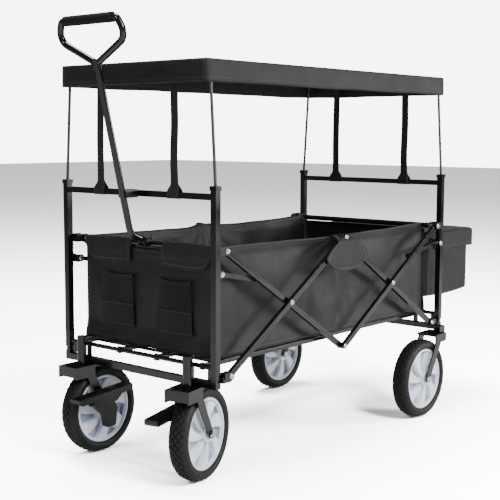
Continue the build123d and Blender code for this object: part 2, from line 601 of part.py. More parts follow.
# ---------------------------------------------------------------- end frames, upper halves
for end_name, end in ENDS.items():
    x = end_x(end)
    half = POST_SIZE / 2
    bore = half - WALL
    with BuildPart() as upper_frame:
        for side in SIDES.values():
            block((x - half, x + half), spanning(POST_Y - half, POST_Y + half, side),
                  (POST_FOOT_Z, POST_TOP_Z))
            block((x - bore, x + bore), spanning(POST_Y - bore, POST_Y + bore, side),
                  (POST_FOOT_Z, POST_TOP_Z - 30), Mode.SUBTRACT)
            block((x - half - 1.5, x + half + 1.5),
                  spanning(POST_Y - half - 1.5, POST_Y + half + 1.5, side),
                  (POST_TOP_Z, POST_TOP_Z + CAP_HEIGHT))
            post(x, side * POST_Y, (POST_TOP_Z - 20, POST_TOP_Z + CAP_HEIGHT), POLE_R, Mode.SUBTRACT)
        bar = UPPER_BAR_SIZE / 2
        block((x - bar, x + bar), (half - POST_Y, POST_Y - half),
              (UPPER_BAR_Z - bar, UPPER_BAR_Z + bar))
    save(upper_frame.part, f"upper_frame_{end_name}")

    # inverted-U canopy bow, its legs leaning inwards from the post sockets
    foot = POST_TOP_Z - 16
    lean = (POST_Y - POLE_TOP_Y) / (POLE_TOP_Z - POST_TOP_Z)
    with BuildPart() as bow:
        with BuildLine() as route:
            Polyline((x, POST_Y, foot), (x, POST_Y, POST_TOP_Z + CAP_HEIGHT), (x, POLE_TOP_Y, POLE_TOP_Z),
                     (x, -POLE_TOP_Y, POLE_TOP_Z), (x, -POST_Y, POST_TOP_Z + CAP_HEIGHT), (x, -POST_Y, foot))
            corners = [v for v in route.vertices() if v.Z > POLE_TOP_Z - 1]
            fillet(corners, 14)
        with BuildSketch(Plane(origin=(x, POST_Y, foot), z_dir=(0, 0, 1))):
            Circle(POLE_R)
        sweep(transition=Transition.ROUND)
    save(bow.part, f"canopy_bow_{end_name}")

    # webbing from the canopy down to a sewn loop round the upper crossbar
    ring = UPPER_BAR_SIZE / 2 + 0.3
    with BuildPart() as straps:
        for side in SIDES.values():
            y = spanning(STRAP_Y - STRAP_FOOT_WIDTH / 2, STRAP_Y + STRAP_FOOT_WIDTH / 2, side)
            block((x - ring - STRAP_THICK, x + ring + STRAP_THICK), y,
                  (UPPER_BAR_Z - ring - STRAP_THICK, UPPER_BAR_Z + ring + STRAP_THICK))
            block((x - ring, x + ring), y, (UPPER_BAR_Z - ring, UPPER_BAR_Z + ring), Mode.SUBTRACT)
            with BuildSketch(Plane(origin=(x - STRAP_THICK / 2, side * STRAP_Y, 0), x_dir=(0, 1, 0),
                                   z_dir=(1, 0, 0))):
                start = UPPER_BAR_Z + ring + STRAP_THICK
                wide = STRAP_FOOT_WIDTH / 2
                slim = STRAP_WIDTH / 2
                with BuildLine():
                    Polyline((-wide, start), (wide, start), (slim, start + 16), (slim, POLE_TOP_Z - POLE_R),
                             (-slim, POLE_TOP_Z - POLE_R), (-slim, start + 16), close=True)
                make_face()
            extrude(amount=STRAP_THICK)
    save(straps.part, f"canopy_straps_{end_name}")

    # tube between the two corner brackets that carries the fabric, and the handle at the front
    inner, outer = HIGH_CHEEKS[end]
    rail_x = pivot_x(end)
    rail_half = inner[0] - RIVET_HEAD_H
    with BuildPart() as top_rail:
        pin(rail_x, HIGH_PIVOT_Z, (-rail_half, rail_half), TOP_RAIL_R)
        if end == 1:
            pivot = (rail_x + HANDLE_PIVOT_OUT, HIGH_PIVOT_Z + HANDLE_PIVOT_UP)
            for way in SIDES.values():
                y = spanning(HANDLE_R + 0.6, HANDLE_R + 3.6, way)
                block((rail_x, pivot[0] + 8), y, (HIGH_PIVOT_Z - 4, pivot[1] + 8))
            pin(*pivot, (-HANDLE_R - 5, HANDLE_R + 5), RIVET_R)
            pin(*pivot, (-HANDLE_R - 7, -HANDLE_R - 3.6), RIVET_HEAD_R)
            pin(*pivot, (HANDLE_R + 3.6, HANDLE_R + 7), RIVET_HEAD_R)
    save(top_rail.part, f"top_rail_{end_name}")

# ---------------------------------------------------------------- folding base
for end_name, end in ENDS.items():
    x = end_x(end)
    shift = 0 if end == 1 else SLAT_LANE_STEP
    tip_x = MID_X + end * BASE_GAP / 2
    eye = BASE_RAIL_R + RIVET_GAP
    lanes = [SLAT_OUTER_Y - shift, SLAT_INNER_Y - shift, -(SLAT_INNER_Y - shift),
             -(SLAT_OUTER_Y - shift)]
    half = SLAT_SIZE / 2
    with BuildPart() as base:
        for y in lanes:
            block((x, tip_x), (y - half, y + half), (BASE_Z - half, BASE_Z + half))
            pin(x, BASE_Z, (y - half, y + half), BASE_RAIL_R + 3)
            pin(x, BASE_Z, (y - half - 1, y + half + 1), eye, Mode.SUBTRACT)
        cross_x = MID_X + end * CROSS_SLAT_SETBACK
        for place in (cross_x, MID_X + end * (POST_SPAN_X / 2 - 60)):
            block((place - 8, place + 8), (min(lanes), max(lanes)), (BASE_Z - half, BASE_Z - half + 3))
    save(base.part, f"base_frame_{end_name}")

# ---------------------------------------------------------------- fabric
def panel_x(end, layer=0):
    """Inner and outer X of an end panel, just outboard of the top rail's centre line."""
    start = pivot_x(end) + end * (2 + layer)
    return (start, start + end * PANEL_THICK)


TUB_FRONT_X = pivot_x(1) + 1
TUB_REAR_X = pivot_x(-1) - 1

CAPE_Y = LANES[0] + BAR_THICK / 2 + RIVET_HEAD_H + 0.8
CAPE_FOOT_Z = HIGH_PIVOT_Z - 62
CAPE_HEM = 40  # half the cape's length at the hem
CAPE_SPREAD = 85  # and at its foot

with BuildPart() as tub:
    for side in SIDES.values():
        block((MID_X - CAPE_HEM, MID_X + CAPE_HEM), spanning(TUB_HALF_Y - 1, CAPE_Y + 2, side),
              (TUB_TOP_Z, TUB_TOP_Z + 2))
        cape_face = Plane(origin=(MID_X, side * CAPE_Y, 0), x_dir=(-side, 0, 0), z_dir=(0, side, 0))
        with BuildSketch(cape_face):
            with BuildLine():
                Polyline((-CAPE_HEM, TUB_TOP_Z + 2), (CAPE_HEM, TUB_TOP_Z + 2),
                         (CAPE_SPREAD, CAPE_FOOT_Z + 20), (CAPE_SPREAD - 40, CAPE_FOOT_Z),
                         (40 - CAPE_SPREAD, CAPE_FOOT_Z), (-CAPE_SPREAD, CAPE_FOOT_Z + 20), close=True)
            make_face()
        extrude(amount=2)
        block((TUB_REAR_X, TUB_FRONT_X), spanning(TUB_HALF_Y - PANEL_THICK, TUB_HALF_Y, side),
              (TUB_FLOOR_Z, HIGH_PIVOT_Z - 22))
        block((TUB_REAR_X + 12, TUB_FRONT_X - 12), spanning(TUB_HALF_Y - PANEL_THICK, TUB_HALF_Y, side),
              (HIGH_PIVOT_Z - 22, TUB_TOP_Z))
    block((TUB_REAR_X, TUB_FRONT_X), (-TUB_HALF_Y, TUB_HALF_Y), (TUB_FLOOR_Z, TUB_FLOOR_Z + PANEL_THICK))
save(tub.part, "tub_fabric")

for end_name, end in ENDS.items():
    with BuildPart() as panel:
        block(panel_x(end), (-PANEL_HALF_Y, PANEL_HALF_Y), (PANEL_FOOT_Z, PANEL_TOP_Z))
    save(panel.part, f"{end_name}_panel")

with BuildPart() as flaps:
    rail_x = pivot_x(1)
    ring = TOP_RAIL_R + 0.4
    skin = 3
    drop = panel_x(1)[1] + 1
    for side in SIDES.values():
        y = spanning(FLAP_INNER_Y, PANEL_HALF_Y - 2, side)
        pin(rail_x, HIGH_PIVOT_Z, y, ring + skin)
        block((rail_x, rail_x + ring + skin), y, (HIGH_PIVOT_Z, FLAP_DROP_Z))
        block((rail_x - ring - skin - 1, rail_x), y, (HIGH_PIVOT_Z, HIGH_PIVOT_Z - 20), Mode.SUBTRACT)
        block((rail_x - 1, rail_x + ring), y, (HIGH_PIVOT_Z, FLAP_DROP_Z - 1), Mode.SUBTRACT)
        pin(rail_x, HIGH_PIVOT_Z, y, ring, Mode.SUBTRACT)
save(flaps.part, "front_flaps")

with BuildPart() as pockets:
    back = panel_x(1)[1]
    for side in SIDES.values():
        y0 = side * POCKET_Y
        with BuildSketch(Plane(origin=(back, y0, 0), x_dir=(0, 1, 0), z_dir=(1, 0, 0))):
            with BuildLine():
                wide = POCKET_WIDTH / 2
                Polyline((-wide, POCKET_FOOT_Z), (wide, POCKET_FOOT_Z), (wide - 6, POCKET_TOP_Z),
                         (6 - wide, POCKET_TOP_Z), close=True)
            make_face()
        extrude(amount=POCKET_DEPTH)
        block((back, back + POCKET_DEPTH - 2.5), (y0 - wide + 9, y0 + wide - 9),
              (POCKET_FOOT_Z + 3, POCKET_TOP_Z + 1), Mode.SUBTRACT)
save(pockets.part, "front_pockets")

with BuildPart() as canopy:
    out_x = POST_SPAN_X / 2 + CANOPY_OUT_X
    foot = CANOPY_TOP_Z - CANOPY_SKIRT
    block((MID_X - out_x, MID_X + out_x), (-CANOPY_HALF_Y, CANOPY_HALF_Y), (foot, CANOPY_TOP_Z))
    fillet(canopy.edges().filter_by(Axis.Z), 12)
    block((MID_X - out_x + CANOPY_WALL, MID_X + out_x - CANOPY_WALL),
          (-CANOPY_HALF_Y + CANOPY_WALL, CANOPY_HALF_Y - CANOPY_WALL),
          (foot - 1, CANOPY_TOP_Z - CANOPY_WALL), Mode.SUBTRACT)
save(canopy.part, "canopy")

# ---------------------------------------------------------------- rear bag
BAG_FRONT = panel_x(-1)[1] - 1
BAG_BACK = MID_X - BAG_REACH + BAG_SETBACK
LID_FRONT = BAG_FRONT - 6

with BuildPart() as bag:
    block((BAG_FRONT, BAG_BACK), (-BAG_HALF_Y, BAG_HALF_Y), (BAG_FOOT_Z, BAG_TOP_Z))
    fillet(bag.edges().filter_by(Axis.Z), 14)
    block((BAG_FRONT - BAG_WALL, BAG_BACK + BAG_WALL), (BAG_WALL - BAG_HALF_Y, BAG_HALF_Y - BAG_WALL),
          (BAG_FOOT_Z + BAG_WALL, BAG_TOP_Z + 1), Mode.SUBTRACT)
save(bag.part, "rear_bag")

LID_HALF_Y = BAG_HALF_Y + LID_GAP + LID_WALL
with BuildPart() as lid:
    lid_back = MID_X - BAG_REACH
    top = (BAG_TOP_Z + LID_GAP, BAG_TOP_Z + LID_GAP + LID_WALL)
    block((LID_FRONT, lid_back), (-LID_HALF_Y, LID_HALF_Y), top)
    block((LID_FRONT - 42, lid_back), (-LID_HALF_Y, LID_HALF_Y), (top[0] - LID_SKIRT, top[0]))
    block((LID_FRONT, lid_back + LID_WALL), (-BAG_HALF_Y - LID_GAP, BAG_HALF_Y + LID_GAP),
          (top[0] - LID_SKIRT - 1, top[0]), Mode.SUBTRACT)
save(lid.part, "bag_lid")

# ---------------------------------------------------------------- pull handle
PIVOT = (pivot_x(1) + HANDLE_PIVOT_OUT, HIGH_PIVOT_Z + HANDLE_PIVOT_UP)
GRIP_X = MID_X + GRIP_REACH - GRIP_R
LEAN = radians(HANDLE_LEAN)
LOOP_FOOT = (GRIP_X - LOOP_DROP * sin(LEAN), GRIP_Z - LOOP_DROP * cos(LEAN))
KNEE_Z = 536
KNEE_X = LOOP_FOOT[0] - (LOOP_FOOT[1] - KNEE_Z) * sin(LEAN) / cos(LEAN)

with BuildPart() as handle_frame:
    with BuildLine() as stem_line:
        Polyline((PIVOT[0], 0, PIVOT[1]), (KNEE_X, 0, KNEE_Z), (LOOP_FOOT[0], 0, LOOP_FOOT[1]))
        bends = [v for v in stem_line.vertices() if PIVOT[1] + 1 < v.Z < LOOP_FOOT[1] - 1]
        fillet(bends, 30)
    with BuildSketch(Plane(origin=stem_line.wire() @ 0, z_dir=stem_line.wire() % 0)):
        Circle(HANDLE_R)
    sweep()
    pin(*PIVOT, (1 - HANDLE_R, HANDLE_R - 1), HANDLE_R + 2)
    pin(*PIVOT, (-HANDLE_R - 1, HANDLE_R + 1), RIVET_R + RIVET_GAP, Mode.SUBTRACT)
    ferrule = (LOOP_FOOT[0] - 10 * sin(LEAN), 0, LOOP_FOOT[1] - 10 * cos(LEAN))
    with BuildSketch(Plane(origin=ferrule, z_dir=(sin(LEAN), 0, cos(LEAN)))):
        Circle(HANDLE_R + 3)
    extrude(amount=22)
    with BuildLine(Plane(origin=(GRIP_X, 0, GRIP_Z), x_dir=(0, 1, 0),
                         z_dir=(cos(LEAN), 0, -sin(LEAN)))) as loop_line:
        foot = LOOP_DROP - HANDLE_R
        Polyline((-9, -foot), (-LOOP_HALF, -LOOP_SHOULDER), (-GRIP_CORNER, 0), (GRIP_CORNER, 0),
                 (LOOP_HALF, -LOOP_SHOULDER), (9, -foot))
        shoulders = loop_line.vertices().sort_by(Axis.Z)[2:4]
        fillet(shoulders, 26)
        corners = loop_line.vertices().sort_by(Axis.Z)[-2:]
        fillet(corners, 12)
    with BuildSketch(Plane(origin=loop_line.wire() @ 0, z_dir=loop_line.wire() % 0)):
        Circle(HANDLE_R)
    sweep(path=loop_line.wire())
save(handle_frame.part, "handle_frame")

with BuildPart() as handle_grip:
    with BuildSketch(Plane(origin=(GRIP_X, -GRIP_HALF, GRIP_Z), x_dir=(1, 0, 0), z_dir=(0, 1, 0))):
        Circle(GRIP_R)
        Circle(HANDLE_R, mode=Mode.SUBTRACT)
    extrude(amount=2 * GRIP_HALF)
save(handle_grip.part, "handle_grip")

# spring clip on the front crossbar that holds the parked stem
CLIP_STEM_X = KNEE_X + (UPPER_BAR_Z - KNEE_Z) * sin(LEAN) / cos(LEAN)
with BuildPart() as handle_clip:
    bar = UPPER_BAR_SIZE / 2
    jaw = HANDLE_R + 0.6
    block((FRONT_X + bar, FRONT_X + bar + 2.5), (-jaw - 3, jaw + 3), (UPPER_BAR_Z - 9, UPPER_BAR_Z + 9))
    for way in SIDES.values():
        block((FRONT_X + bar, CLIP_STEM_X + 2), spanning(jaw + 0.4, jaw + 3, way),
              (UPPER_BAR_Z - 9, UPPER_BAR_Z + 9))
save(handle_clip.part, "handle_clip")
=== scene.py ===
"""Looks of a folding pull wagon with a flat canopy, built round its fixed metal frame.

Metres; +X towards the pull handle, +Y to the wagon's left, +Z up.  Hard parts keep their own
meshes and get finishes and softened edges.  Cloth, tyres, wheel centres and the foam grip are
modelled here.
"""

import json
from math import atan2, cos, exp, hypot, pi, radians, sin, tau

import bpy
from mathutils import Matrix, Vector, noise


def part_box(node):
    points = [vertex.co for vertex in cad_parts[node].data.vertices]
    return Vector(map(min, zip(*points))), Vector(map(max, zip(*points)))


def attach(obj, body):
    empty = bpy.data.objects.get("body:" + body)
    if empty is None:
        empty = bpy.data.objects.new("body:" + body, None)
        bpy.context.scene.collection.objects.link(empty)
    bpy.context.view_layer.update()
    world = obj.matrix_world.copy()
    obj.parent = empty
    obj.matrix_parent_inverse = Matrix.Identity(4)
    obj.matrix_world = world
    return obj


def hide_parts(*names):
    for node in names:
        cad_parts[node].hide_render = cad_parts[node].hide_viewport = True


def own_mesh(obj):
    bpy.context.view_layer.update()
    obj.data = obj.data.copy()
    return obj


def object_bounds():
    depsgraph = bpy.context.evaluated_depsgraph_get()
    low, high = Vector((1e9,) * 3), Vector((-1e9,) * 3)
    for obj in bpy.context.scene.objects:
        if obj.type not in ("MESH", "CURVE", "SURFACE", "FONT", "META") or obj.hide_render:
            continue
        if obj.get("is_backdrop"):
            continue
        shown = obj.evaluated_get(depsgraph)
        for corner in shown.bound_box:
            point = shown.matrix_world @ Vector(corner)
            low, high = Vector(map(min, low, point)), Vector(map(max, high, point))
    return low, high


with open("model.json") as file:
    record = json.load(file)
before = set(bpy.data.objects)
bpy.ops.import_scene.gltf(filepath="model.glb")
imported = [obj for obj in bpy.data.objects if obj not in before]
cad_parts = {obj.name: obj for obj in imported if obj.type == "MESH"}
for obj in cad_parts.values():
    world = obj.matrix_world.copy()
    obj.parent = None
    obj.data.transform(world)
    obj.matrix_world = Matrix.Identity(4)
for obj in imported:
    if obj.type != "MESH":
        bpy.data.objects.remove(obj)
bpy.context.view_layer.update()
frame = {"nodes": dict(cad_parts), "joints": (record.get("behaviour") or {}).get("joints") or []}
NODES = frame["nodes"]
JOINTS = {joint["name"]: joint for joint in frame["joints"]}
MIDDLE = JOINTS["centre_low_pivot"]["pos_m"][0]
FRONT_PIVOT = JOINTS["fold"]["pos_m"][0]
REAR_PIVOT = JOINTS["rear_low_pivot"]["pos_m"][0]
RAIL_Z = JOINTS["front_top_pivot"]["pos_m"][2]
SIDES = {"left": 1, "right": -1}
ENDS = {"front": 1, "rear": -1}


# ---------------------------------------------------------------- small helpers
def linear(text):
    """An sRGB hex colour as a linear colour with alpha 1."""
    values = [int(text[i:i + 2], 16) / 255 for i in (1, 3, 5)]
    return tuple(v / 12.92 if v <= 0.04045 else ((v + 0.055) / 1.055) ** 2.4 for v in values) + (1,)


def add(tree, kind, inputs=None, **settings):
    """Adds a node with its settings; each input is a value or the socket that feeds it."""
    made = tree.nodes.new(kind)
    for key, value in settings.items():
        setattr(made, key, value)
    for key, value in (inputs or {}).items():
        if isinstance(value, bpy.types.NodeSocket):
            tree.links.new(value, made.inputs[key])
        else:
            made.inputs[key].default_value = value
    return made


def finish_named(name, **constants):
    """A new material with its shader's constants set; returns the material, tree and shader."""
    made = bpy.data.materials.new(name)
    made.use_nodes = True
    shader = made.node_tree.nodes["Principled BSDF"]
    for key, value in constants.items():
        shader.inputs[key.replace("_", " ")].default_value = value
    return made, made.node_tree, shader


def mottled(name, dark, light, patch_mm, rough, grain_mm, depth_mm, **constants):
    """A finish whose colour and roughness drift over patches, with a fine grain in relief."""
    made, tree, shader = finish_named(name, **constants)
    place = add(tree, "ShaderNodeTexCoord").outputs["Object"]
    patches = add(tree, "ShaderNodeTexNoise", {"Vector": place, "Scale": 1000 / patch_mm, "Detail": 5})
    colour = add(tree, "ShaderNodeMix", {"Factor": patches.outputs["Fac"], 6: linear(dark),
                                         7: linear(light)}, data_type="RGBA")
    spread = add(tree, "ShaderNodeMapRange", {"Value": patches.outputs["Fac"], "From Min": 0.3,
                                              "From Max": 0.7, "To Min": rough[0], "To Max": rough[1]})
    grain = add(tree, "ShaderNodeTexNoise", {"Vector": place, "Scale": 1000 / grain_mm, "Detail": 3})
    relief = add(tree, "ShaderNodeBump", {"Height": grain.outputs["Fac"], "Strength": 0.6,
                                          "Distance": depth_mm / 1000})
    tree.links.new(colour.outputs[2], shader.inputs["Base Color"])
    tree.links.new(spread.outputs["Result"], shader.inputs["Roughness"])
    tree.links.new(relief.outputs["Normal"], shader.inputs["Normal"])
    return made


def woven(name, dark, light, thread_mm, hem_mm, rough, depth_mm, sheen=0.3, stitch="#4c4d50"):
    """Sewn cloth: UV runs in metres, U along the hem and V in from it, for the row of stitches."""
    made, tree, shader = finish_named(name, Sheen_Weight=sheen, Sheen_Roughness=0.4,
                                      Specular_IOR_Level=0.3)
    place = add(tree, "ShaderNodeTexCoord")
    spot = place.outputs["Object"]
    drift = add(tree, "ShaderNodeTexNoise", {"Vector": spot, "Scale": 14.0, "Detail": 6})
    base = add(tree, "ShaderNodeMix", {"Factor": drift.outputs["Fac"], 6: linear(dark),
                                       7: linear(light)}, data_type="RGBA")
    pitch = tau * 1000 / thread_mm
    cuts = add(tree, "ShaderNodeSeparateXYZ", {"Vector": add(tree, "ShaderNodeVectorMath", {
        0: spot, 1: (pitch, pitch, pitch)}, operation="MULTIPLY").outputs["Vector"]})
    level = add(tree, "ShaderNodeMath", {0: cuts.outputs["X"], 1: cuts.outputs["Y"]}, operation="ADD")
    warp = add(tree, "ShaderNodeMath", {0: level.outputs["Value"]}, operation="SINE")
    weft = add(tree, "ShaderNodeMath", {0: cuts.outputs["Z"]}, operation="SINE")
    weave = add(tree, "ShaderNodeMath", {0: warp.outputs["Value"], 1: weft.outputs["Value"]},
                operation="MULTIPLY")
    flat = add(tree, "ShaderNodeSeparateXYZ", {"Vector": place.outputs["UV"]})
    off = add(tree, "ShaderNodeMath", {0: flat.outputs["Y"], 1: hem_mm / 1000}, operation="SUBTRACT")
    near = add(tree, "ShaderNodeMath", {0: off.outputs["Value"]}, operation="ABSOLUTE")
    row = add(tree, "ShaderNodeMath", {0: near.outputs["Value"], 1: 0.0011}, operation="LESS_THAN")
    beat = add(tree, "ShaderNodeMath", {0: flat.outputs["X"], 1: 0.0075}, operation="FLOORED_MODULO")
    dash = add(tree, "ShaderNodeMath", {0: beat.outputs["Value"], 1: 0.0052}, operation="LESS_THAN")
    thread = add(tree, "ShaderNodeMath", {0: row.outputs["Value"], 1: dash.outputs["Value"]},
                 operation="MULTIPLY")
    sewn = add(tree, "ShaderNodeMix", {"Factor": thread.outputs["Value"], 6: base.outputs[2],
                                       7: linear(stitch)}, data_type="RGBA")
    furrow = add(tree, "ShaderNodeMapRange", {"Value": near.outputs["Value"], "From Min": 0.0,
                                              "From Max": 0.004, "To Min": -5.0, "To Max": 0.0})
    total = add(tree, "ShaderNodeMath", {0: weave.outputs["Value"], 1: furrow.outputs["Result"]},
                operation="ADD")
    raised = add(tree, "ShaderNodeMath", {0: thread.outputs["Value"], 1: 7.0, 2: total.outputs["Value"]},
                 operation="MULTIPLY_ADD")
    relief = add(tree, "ShaderNodeBump", {"Height": raised.outputs["Value"], "Strength": 0.7,
                                          "Distance": depth_mm / 1000})
    shine = add(tree, "ShaderNodeMapRange", {"Value": drift.outputs["Fac"], "From Min": 0.3,
                                             "From Max": 0.7, "To Min": rough[0], "To Max": rough[1]})
    tree.links.new(sewn.outputs[2], shader.inputs["Base Color"])
    tree.links.new(shine.outputs["Result"], shader.inputs["Roughness"])
    tree.links.new(relief.outputs["Normal"], shader.inputs["Normal"])
    return made


# ---------------------------------------------------------------- materials
# Powder-coated steel tube: black, faintly pebbled, with a soft bright line along each corner.
POWDER_COAT = mottled("powder_coated_steel", "#040405", "#08090a", 40, (0.16, 0.26), 1.6, 0.02,
                      Specular_IOR_Level=0.5)
# Zinc-plated steel rivets and bolts: pale, slightly streaked metal that glints on its dome.
ZINC_PLATE = mottled("zinc_plated_steel", "#a9abb0", "#d5d7da", 3, (0.22, 0.38), 0.8, 0.02, Metallic=1.0)
# Grey painted steel rod: thin canopy poles that read as mid grey against the light.
POLE_PAINT = mottled("grey_painted_rod", "#3a3c3f", "#54575b", 30, (0.35, 0.45), 1.2, 0.02, Metallic=0.5)
# Moulded polypropylene: dull black with a fine spark-eroded texture.
BLACK_PP = mottled("moulded_polypropylene", "#050506", "#0a0b0c", 18, (0.26, 0.38), 0.9, 0.04,
                   Specular_IOR_Level=0.4)
# Tyre rubber: matt black, a little dusty on the high spots.
TYRE_RUBBER = mottled("tyre_rubber", "#09090a", "#121314", 12, (0.5, 0.66), 0.7, 0.06,
                      Specular_IOR_Level=0.35)
# Silver-painted moulded nylon: cool pale grey with a soft gloss.
SILVER_NYLON = mottled("silver_painted_nylon", "#e3e8f2", "#f1f4fa", 25, (0.28, 0.36), 1.5, 0.02,
                       Coat_Weight=0.4, Coat_Roughness=0.15)
# The same nylon in the recesses between the petals, with painted shade: a darker blue-grey colour than
# the petals, and a duller finish.
RECESS_SHADE_NYLON = mottled("nylon_with_painted_recess_shade", "#8f9ab2", "#a8b2c8", 25, (0.4, 0.5), 1.5, 0.02)
# Closed-cell foam: dark, fully matt, with open pores.
GRIP_FOAM = mottled("closed_cell_foam", "#0a0b0c", "#151617", 5, (0.8, 0.95), 1.1, 0.25,
                    Specular_IOR_Level=0.25)
# Coated polyester cloth of the tub: threads are 0.5 mm, drawn at 1.6 mm so that they show.
TUB_CLOTH = woven("coated_polyester_cloth", "#0b0b0d", "#131417", 1.6, 9, (0.42, 0.54), 0.10,
                  0.04, "#26272a")
# Heavier melange polyester of the flaps and pockets: 1 mm yarn, drawn at 2.2 mm so that it shows.
FLAP_CLOTH = woven("melange_polyester_cloth", "#0d0d0f", "#18191c", 2.2, 7, (0.55, 0.7),
                   0.16, 0.08, "#35363a")
# Tight dark weave of the pockets' lower half.
POCKET_CLOTH = woven("pocket_polyester", "#060607", "#0d0d0f", 1.8, 5, (0.6, 0.75), 0.14,
                     0.04, "#2a2b2e")
# Polyester canvas of the bag: 1 mm yarn, drawn at 2.4 mm so that it shows.
BAG_CANVAS = woven("polyester_canvas", "#0c0c0e", "#16171a", 2.4, 8, (0.6, 0.75), 0.2, 0.06,
                   "#2c2d30")
# Canopy cloth: closely woven black outside with a silver coating inside.
CANOPY_CLOTH = woven("canopy_polyester", "#0a0a0c", "#121316", 1.8, 10, (0.5, 0.62), 0.12,
                     0.05, "#202124")
CANOPY_LINING = woven("silver_coated_lining", "#7d8288", "#9ba0a6", 2.0, 10, (0.4, 0.52), 0.08, 0.1)
# Nylon webbing: thick ribs 2 mm apart across the strap.
WEBBING = woven("nylon_webbing", "#0a0a0b", "#131415", 2.6, 3, (0.5, 0.65), 0.3, 0.06, "#1c1d1f")
# Knitted mesh: the pocket's open net of thick black yarn.
NET_YARN = mottled("knitted_mesh_yarn", "#202124", "#323438", 4, (0.45, 0.6), 0.8, 0.05)


# ---------------------------------------------------------------- hard parts that keep their mesh
def soften(names, finish, width=0.0007):
    """Gives CAD nodes a finish and rounds their sharp edges a little, so that light catches them."""
    for name in names:
        piece = NODES[name]
        piece.data.materials.clear()
        piece.data.materials.append(finish)
        piece.data.shade_smooth()
        join = piece.modifiers.new("join", "WELD")
        join.merge_threshold = 0.00002
        round_off = piece.modifiers.new("round_off", "BEVEL")
        round_off.width = width
        round_off.segments = 2
        round_off.limit_method = "ANGLE"
        round_off.angle_limit = radians(38)
        shade = piece.modifiers.new("shade", "WEIGHTED_NORMAL")
        shade.keep_sharp = True


BARS = [f"{end}_{lane}_bar_{side}" for end in ENDS for lane in ("outer", "inner") for side in SIDES]
soften(BARS + ["brace_links_front", "brace_links_rear"], POWDER_COAT, 0.0012)
soften(["front_lower_frame", "rear_lower_frame", "upper_frame_front", "upper_frame_rear",
        "base_frame_front", "base_frame_rear", "rear_forks", "caster_fork_left", "caster_fork_right",
        "top_rail_front", "top_rail_rear", "handle_frame"], POWDER_COAT, 0.0010)
soften([name for name in NODES if "rivets" in name or "axle" in name], ZINC_PLATE, 0.0006)
soften(["canopy_bow_front", "canopy_bow_rear"], POLE_PAINT, 0.0003)
soften(["corner_brackets_front", "corner_brackets_rear", "brake_housing_left", "brake_housing_right",
        "brake_pedal_left", "brake_pedal_right", "handle_clip"], BLACK_PP, 0.0010)


# ---------------------------------------------------------------- modelling helpers
def only(piece):
    """Makes one piece the active and only selected object."""
    bpy.ops.object.select_all(action="DESELECT")
    piece.select_set(True)
    bpy.context.view_layer.objects.active = piece


def called(name, *finishes):
    """Names the piece just added and gives it its finishes."""
    piece = bpy.context.object
    piece.name = name
    piece.data.name = name
    bpy.ops.object.transform_apply(location=True, rotation=True, scale=True)
    for finish in finishes:
        piece.data.materials.append(finish)
    return piece


def choose(piece, test, kind="FACE"):
    """In edit mode, selects the faces, edges or vertices whose middle passes the test."""
    bpy.ops.mesh.select_mode(type=kind)
    bpy.ops.mesh.select_all(action="DESELECT")
    bpy.ops.object.mode_set(mode="OBJECT")
    mesh = piece.data
    if kind == "FACE":
        for face in mesh.polygons:
            face.select = test(face.center, face.normal)
    elif kind == "EDGE":
        for edge in mesh.edges:
            a, b = (mesh.vertices[i].co for i in edge.vertices)
            edge.select = test((a + b) / 2, (b - a).normalized())
    else:
        for vertex in mesh.vertices:
            vertex.select = test(vertex.co, vertex.normal)
    bpy.ops.object.mode_set(mode="EDIT")


def apply_all(piece):
    """Applies every modifier of one piece, in order."""
    only(piece)
    for modifier in list(piece.modifiers):
        bpy.ops.object.modifier_apply(modifier=modifier.name)


def thicken(piece, wall):
    """Turns a sheet into cloth with a real thickness."""
    solid = piece.modifiers.new("wall", "SOLIDIFY")
    solid.thickness = wall
    solid.offset = -1
    solid.use_even_offset = True
    apply_all(piece)
    piece.data.shade_smooth()


def sheet_of(name, cuts, place, lay, finish, wall):
    """A cloth sheet: a grid with cuts (along, across), each point moved to place(a, b), and UVs
    from lay(a, b), where a and b run from 0 to 1."""
    bpy.ops.object.select_all(action="DESELECT")
    bpy.ops.mesh.primitive_grid_add(x_subdivisions=cuts[0], y_subdivisions=cuts[1], size=1)
    piece = called(name, *finish)
    mesh = piece.data
    spots = [(v.co.x + 0.5, v.co.y + 0.5) for v in mesh.vertices]
    layer = mesh.uv_layers.active
    for loop in mesh.loops:
        layer.data[loop.index].uv = lay(*spots[loop.vertex_index])
    for vertex, (a, b) in zip(mesh.vertices, spots):
        vertex.co = place(a, b)
    mesh.update()
    if wall:
        thicken(piece, wall)
    piece.data.shade_smooth()
    return piece


def crease(x, y, z, scale, seed=0.0):
    """A smooth wandering value from about -1 to 1, the same on every run."""
    return noise.noise(Vector((x * scale + seed, y * scale - seed, z * scale + 2 * seed)))


def smooth(low, high, value):
    """0 at low and 1 at high, with an easy start and finish."""
    t = min(max((value - low) / (high - low), 0), 1)
    return t * t * (3 - 2 * t)


# ---------------------------------------------------------------- wheels
WHEEL_R = (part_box("rear_tyre_left")[1].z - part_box("rear_tyre_left")[0].z) / 2
RIM_R = (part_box("rear_rim_left")[1].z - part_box("rear_rim_left")[0].z) / 2
PETALS = 7


